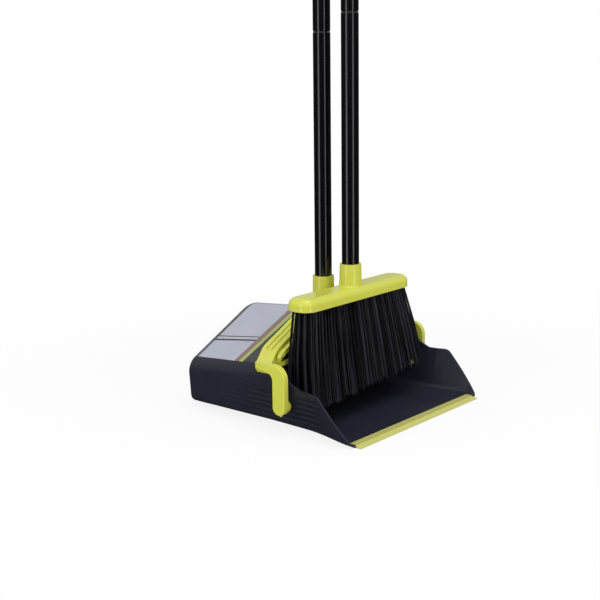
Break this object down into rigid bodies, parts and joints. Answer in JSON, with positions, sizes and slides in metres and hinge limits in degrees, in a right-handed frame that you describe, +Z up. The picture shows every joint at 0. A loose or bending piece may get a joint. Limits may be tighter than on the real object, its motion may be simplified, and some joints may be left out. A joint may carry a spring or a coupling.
{
  "type": "dust pan and brush set",
  "caption": "Upright broom with a long tube handle, stored in a hooded dustpan whose own handle tilts on a yoke and clips to the broom.",
  "frame": {"origin": "centre of the set's footprint on the floor, at the pan's flat underside", "axes": "+Z up along both handles, -Y out of the pan's mouth, X across the pan along its pivot"},
  "size_m": [0.304, 0.284, 1.359],
  "materials": {
    "charcoal_plastic": "satin moulded",
    "lime_plastic": "semi-gloss moulded",
    "lime_rubber": "soft satin",
    "printed_film": "smooth printed film",
    "black_tube": "gloss powder coat",
    "black_plastic": "satin moulded",
    "bristle": "fine strands"
  },
  "bodies": {
    "pan": {"pan_hopper": "charcoal_plastic", "pan_lip": "lime_rubber", "pan_label": "printed_film"},
    "handle": {"yoke": "lime_plastic", "pan_screw_plug": "black_plastic", "pan_tube_lower": "black_tube", "pan_collar": "lime_plastic", "pan_joint_stud": "black_plastic", "pan_tube_upper": "black_tube", "pan_hand_grip": "lime_plastic"},
    "broom": {"broom_head": "lime_plastic", "broom_bristles": "bristle", "broom_screw_plug": "black_plastic", "broom_tube_lower": "black_tube", "broom_lower_collar": "lime_plastic", "broom_lower_stud": "black_plastic", "broom_tube_middle": "black_tube", "broom_upper_collar": "lime_plastic", "broom_upper_stud": "black_plastic", "broom_tube_upper": "black_tube", "broom_grip_sleeve": "lime_plastic", "broom_end_cap": "black_plastic"}
  },
  "joints": [
    {"name": "handle_tilt", "type": "hinge", "parent": "pan", "child": "handle", "pos_m": [0, -0.035, 0.0355], "axis": [1, 0, 0], "range_deg": [0, 72]},
    {"name": "broom_lift", "type": "slide", "parent": "handle", "child": "broom", "axis": [0, 0, 1], "range_m": [0, 0.3]}
  ]
}
